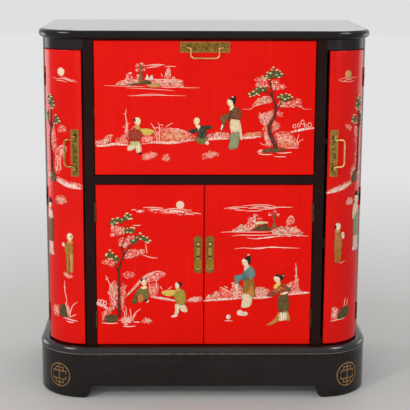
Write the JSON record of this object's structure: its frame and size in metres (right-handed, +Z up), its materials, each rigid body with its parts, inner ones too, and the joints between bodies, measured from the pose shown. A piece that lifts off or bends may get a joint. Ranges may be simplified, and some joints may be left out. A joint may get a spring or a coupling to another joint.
{
  "type": "cabinet on stand",
  "caption": "Lacquer drinks cabinet on a low stand, with a drop-down fall front over cupboard doors and a bowed door at each front corner.",
  "frame": {"origin": "middle of the stand on the floor", "axes": "+Z up, the front with the fall faces -Y, +X to the viewer's right"},
  "size_m": [0.926, 0.486, 1.018],
  "materials": {
    "red_lacquer": "glossy red lacquer",
    "black_lacquer": "glossy black lacquer",
    "inner_lacquer": "satin dark lacquer",
    "brass": "aged brass",
    "steel": "plain steel",
    "carved_stone": "polished carved soapstone"
  },
  "bodies": {
    "carcase": {"stand_top": "black_lacquer", "front_apron": "black_lacquer", "side_aprons": "black_lacquer", "back_apron": "black_lacquer", "front_left_foot": "black_lacquer", "front_right_foot": "black_lacquer", "back_feet": "black_lacquer", "top_board": "black_lacquer", "left_side": "black_lacquer", "right_side": "black_lacquer", "middle_rail": "black_lacquer", "left_stile": "black_lacquer", "right_stile": "black_lacquer", "left_frieze": "black_lacquer", "right_frieze": "black_lacquer", "left_hinge_post": "black_lacquer", "right_hinge_post": "black_lacquer", "bottom_board": "inner_lacquer", "left_partition": "inner_lacquer", "right_partition": "inner_lacquer", "back_panel": "inner_lacquer", "middle_board": "inner_lacquer", "fall_stop_rail": "inner_lacquer", "cupboard_shelf": "inner_lacquer", "corner_shelves": "inner_lacquer", "glue_blocks": "inner_lacquer", "medallions": "brass", "shelf_pegs": "brass", "stay_guides": "brass", "fall_pivot_pins": "brass", "hinge_frame_leaves": "brass", "hinge_pins": "brass", "catches": "steel"},
    "fall": {"fall_panel": "red_lacquer", "fall_pivot_bushes": "brass", "quadrant_stays": "brass", "fall_handle_plate": "brass", "fall_inlays": "carved_stone"},
    "fall_bail": {"fall_bail": "brass"},
    "left_door": {"left_door": "red_lacquer", "left_door_hinge_leaves": "brass", "left_pull_plate": "brass", "left_door_inlays": "carved_stone"},
    "right_door": {"right_door": "red_lacquer", "right_door_hinge_leaves": "brass", "right_pull_plate": "brass", "right_door_inlays": "carved_stone"},
    "left_drop": {"left_pull_drop": "brass"},
    "right_drop": {"right_pull_drop": "brass"},
    "left_corner_door": {"left_corner_door": "red_lacquer", "left_corner_hinge_leaves": "brass", "left_corner_handle_plate": "brass", "left_corner_inlays": "carved_stone"},
    "right_corner_door": {"right_corner_door": "red_lacquer", "right_corner_hinge_leaves": "brass", "right_corner_handle_plate": "brass", "right_corner_inlays": "carved_stone"},
    "left_corner_bail": {"left_corner_bail": "brass"},
    "right_corner_bail": {"right_corner_bail": "brass"}
  },
  "joints": [
    {"name": "fall_hinge", "type": "hinge", "parent": "carcase", "child": "fall", "pos_m": [0, -0.2135, 0.6365], "axis": [1, 0, 0], "range_deg": [0, 90]},
    {"name": "left_door_hinge", "type": "hinge", "parent": "carcase", "child": "left_door", "pos_m": [-0.2965, -0.2213, 0.3755], "axis": [0, 0, -1], "range_deg": [0, 150]},
    {"name": "right_door_hinge", "type": "hinge", "parent": "carcase", "child": "right_door", "pos_m": [0.2965, -0.2213, 0.3755], "axis": [0, 0, 1], "range_deg": [0, 150]},
    {"name": "left_corner_hinge", "type": "hinge", "parent": "carcase", "child": "left_corner_door", "pos_m": [-0.43309, -0.15076, 0.5575], "axis": [0, 0, -1], "range_deg": [0, 110]},
    {"name": "right_corner_hinge", "type": "hinge", "parent": "carcase", "child": "right_corner_door", "pos_m": [0.43309, -0.15076, 0.5575], "axis": [0, 0, 1], "range_deg": [0, 110]},
    {"name": "fall_bail_pivot", "type": "hinge", "parent": "fall", "child": "fall_bail", "pos_m": [0, -0.2296, 0.9722], "axis": [-1, 0, 0], "range_deg": [0, 95]},
    {"name": "left_drop_pivot", "type": "hinge", "parent": "left_door", "child": "left_drop", "pos_m": [-0.0168, -0.2276, 0.4385], "axis": [-1, 0, 0], "range_deg": [0, 75]},
    {"name": "right_drop_pivot", "type": "hinge", "parent": "right_door", "child": "right_drop", "pos_m": [0.016, -0.2276, 0.4385], "axis": [-1, 0, 0], "range_deg": [0, 75]},
    {"name": "left_corner_bail_pivot", "type": "hinge", "parent": "left_corner_door", "child": "left_corner_bail", "pos_m": [-0.35057, -0.22757, 0.689], "axis": [0, 0, 1], "range_deg": [0, 150]},
    {"name": "right_corner_bail_pivot", "type": "hinge", "parent": "right_corner_door", "child": "right_corner_bail", "pos_m": [0.35057, -0.22757, 0.689], "axis": [0, 0, -1], "range_deg": [0, 150]}
  ]
}
